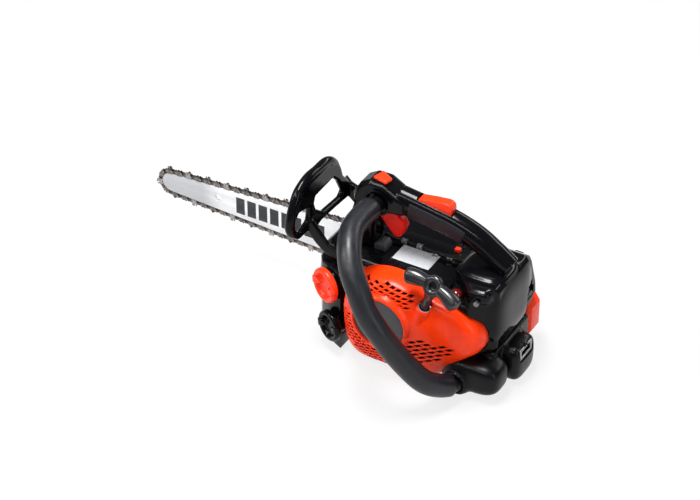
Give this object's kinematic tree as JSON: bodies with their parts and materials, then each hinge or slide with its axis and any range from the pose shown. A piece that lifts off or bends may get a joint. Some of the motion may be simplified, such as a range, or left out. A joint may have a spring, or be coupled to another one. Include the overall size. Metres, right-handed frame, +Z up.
{
  "type": "top-handle chainsaw",
  "caption": "Compact top-handle chainsaw with a slim guide bar and chain, hooped front handle, hinged hand guard, pull starter and screw caps.",
  "frame": {"origin": "on the ground under the crank axis, in the flat underside of the crankcase", "axes": "+X along the guide bar towards its tip, +Y to the operator's left where the starter is, +Z up"},
  "size_m": [0.4852, 0.2196, 0.201],
  "materials": {
    "cast_alloy": "cast, matt",
    "steel": "machined",
    "bar_steel": "ground bright",
    "bright_steel": "plated",
    "orange_plastic": "glossy",
    "black_gloss": "glossy",
    "black_satin": "fine grain",
    "grey_satin": "satin",
    "pale_plate": "smooth",
    "red_bulb": "soft, clear",
    "grip_rubber": "satin",
    "filter_felt": "felt",
    "rope": "braided"
  },
  "bodies": {
    "powerhead": {"crankcase": "cast_alloy", "connecting_rod": "steel", "piston": "cast_alloy", "cylinder": "cast_alloy", "spark_plug": "steel", "muffler": "steel", "intake_boot": "grip_rubber", "carburettor": "cast_alloy", "air_filter": "filter_felt", "guide_bar": "bar_steel", "saw_chain": "steel", "bar_stud": "steel", "bar_nut": "steel", "chain_catcher": "black_satin", "brake_band": "steel", "clutch_cover": "black_gloss", "side_housing": "orange_plastic", "engine_cover": "black_gloss", "label_plate": "pale_plate", "front_cover": "black_gloss", "starter_cover": "orange_plastic", "starter_badge": "grey_satin", "recoil_spring": "steel", "rope_bushing": "steel", "ignition_coil": "black_satin", "tank_housing": "black_gloss", "top_handle": "black_gloss", "handle_grip": "black_satin", "front_handle_tube": "steel", "front_handle_grip": "grip_rubber", "guard_pin_left": "steel", "guard_pin_right": "steel", "rear_cover": "black_gloss", "rear_base": "black_gloss", "throttle_cable": "black_satin", "cover_screw": "bright_steel"},
    "crank": {"crank_half_right": "steel", "crank_half_left": "steel", "flywheel": "cast_alloy", "clutch_shoes": "steel"},
    "clutch_drum": {"clutch_drum": "steel"},
    "starter_pulley": {"starter_pulley": "black_satin"},
    "starter_handle": {"starter_handle": "black_gloss", "starter_rope": "rope"},
    "fuel_cap_seal": {"fuel_cap_seal": "grip_rubber"},
    "fuel_cap": {"fuel_cap": "orange_plastic"},
    "oil_cap_seal": {"oil_cap_seal": "grip_rubber"},
    "oil_cap": {"oil_cap": "black_gloss"},
    "hand_guard": {"hand_guard": "black_gloss"},
    "throttle_trigger": {"throttle_trigger": "orange_plastic"},
    "throttle_lockout": {"throttle_lockout": "orange_plastic"},
    "stop_switch": {"stop_switch": "orange_plastic"},
    "lanyard_ring": {"lanyard_ring": "bright_steel"},
    "cover_knob": {"cover_knob": "black_satin"},
    "choke_lever": {"choke_lever": "black_satin"},
    "purge_bulb": {"purge_bulb": "red_bulb"}
  },
  "joints": [
    {"name": "crank_spin", "type": "hinge", "parent": "powerhead", "child": "crank", "pos_m": [0, 0, 0.061], "axis": [0, 1, 0], "continuous": true},
    {"name": "drum_spin", "type": "hinge", "parent": "powerhead", "child": "clutch_drum", "pos_m": [0, 0, 0.061], "axis": [0, 1, 0], "continuous": true},
    {"name": "starter_pull", "type": "slide", "parent": "powerhead", "child": "starter_handle", "axis": [-0.3202, 0.1036, 0.9417], "range_m": [0, 0.6], "stiffness_N_per_m": 8, "springref_m": -0.1, "deforming": ["starter_rope"]},
    {"name": "pulley_spin", "type": "hinge", "parent": "powerhead", "child": "starter_pulley", "pos_m": [0, 0, 0.061], "axis": [0, -1, 0], "range_deg": [0, 1725]},
    {"name": "fuel_cap_lift", "type": "slide", "parent": "powerhead", "child": "fuel_cap_seal", "axis": [0.4262, 0.9046, 0], "range_m": [0, 0.0101]},
    {"name": "fuel_cap_turn", "type": "hinge", "parent": "fuel_cap_seal", "child": "fuel_cap", "pos_m": [0.06983, 0.04881, 0.0784], "axis": [0.4262, 0.9046, 0], "range_deg": [0, 900]},
    {"name": "oil_cap_lift", "type": "slide", "parent": "powerhead", "child": "oil_cap_seal", "axis": [0.4262, 0.9046, 0], "range_m": [0, 0.0101]},
    {"name": "oil_cap_turn", "type": "hinge", "parent": "oil_cap_seal", "child": "oil_cap", "pos_m": [0.06293, 0.05206, 0.03], "axis": [0.4262, 0.9046, 0], "range_deg": [0, 900]},
    {"name": "guard_tilt", "type": "hinge", "parent": "powerhead", "child": "hand_guard", "pos_m": [0.05, 0, 0.109], "axis": [0, 1, 0], "range_deg": [0, 12]},
    {"name": "trigger_squeeze", "type": "hinge", "parent": "powerhead", "child": "throttle_trigger", "pos_m": [0.031, 0, 0.162], "axis": [0, 1, 0], "range_deg": [0, 14], "stiffness_Nm_per_rad": 0.2, "springref_deg": -8.59},
    {"name": "lockout_press", "type": "hinge", "parent": "powerhead", "child": "throttle_lockout", "pos_m": [-0.01, 0, 0.181], "axis": [0, -1, 0], "range_deg": [0, 6.5], "stiffness_Nm_per_rad": 0.2, "springref_deg": -8.59},
    {"name": "stop_slide", "type": "slide", "parent": "powerhead", "child": "stop_switch", "axis": [1, 0, 0], "range_m": [0, 0.004]},
    {"name": "ring_swing", "type": "hinge", "parent": "powerhead", "child": "lanyard_ring", "pos_m": [-0.1346, -0.003, 0.041], "axis": [0, 1, 0], "range_deg": [0, 80]},
    {"name": "knob_turn", "type": "hinge", "parent": "powerhead", "child": "cover_knob", "pos_m": [-0.1165, -0.04, 0.073], "axis": [1, 0, 0], "range_deg": [0, 90]},
    {"name": "choke_turn", "type": "hinge", "parent": "powerhead", "child": "choke_lever", "pos_m": [-0.093, -0.059, 0.103], "axis": [0, 1, 0], "range_deg": [0, 35]},
    {"name": "bulb_press", "type": "slide", "parent": "powerhead", "child": "purge_bulb", "axis": [0, 0, -1], "range_m": [0, 0.003], "stiffness_N_per_m": 300, "springref_m": -0.001, "deforming": ["purge_bulb"]}
  ],
  "couplings": [
    {"joint": "pulley_spin", "follows": "starter_pull", "rad_per_m": 50},
    {"joint": "fuel_cap_lift", "follows": "fuel_cap_turn", "m_per_rad": 0.00063662},
    {"joint": "oil_cap_lift", "follows": "oil_cap_turn", "m_per_rad": 0.00063662}
  ]
}
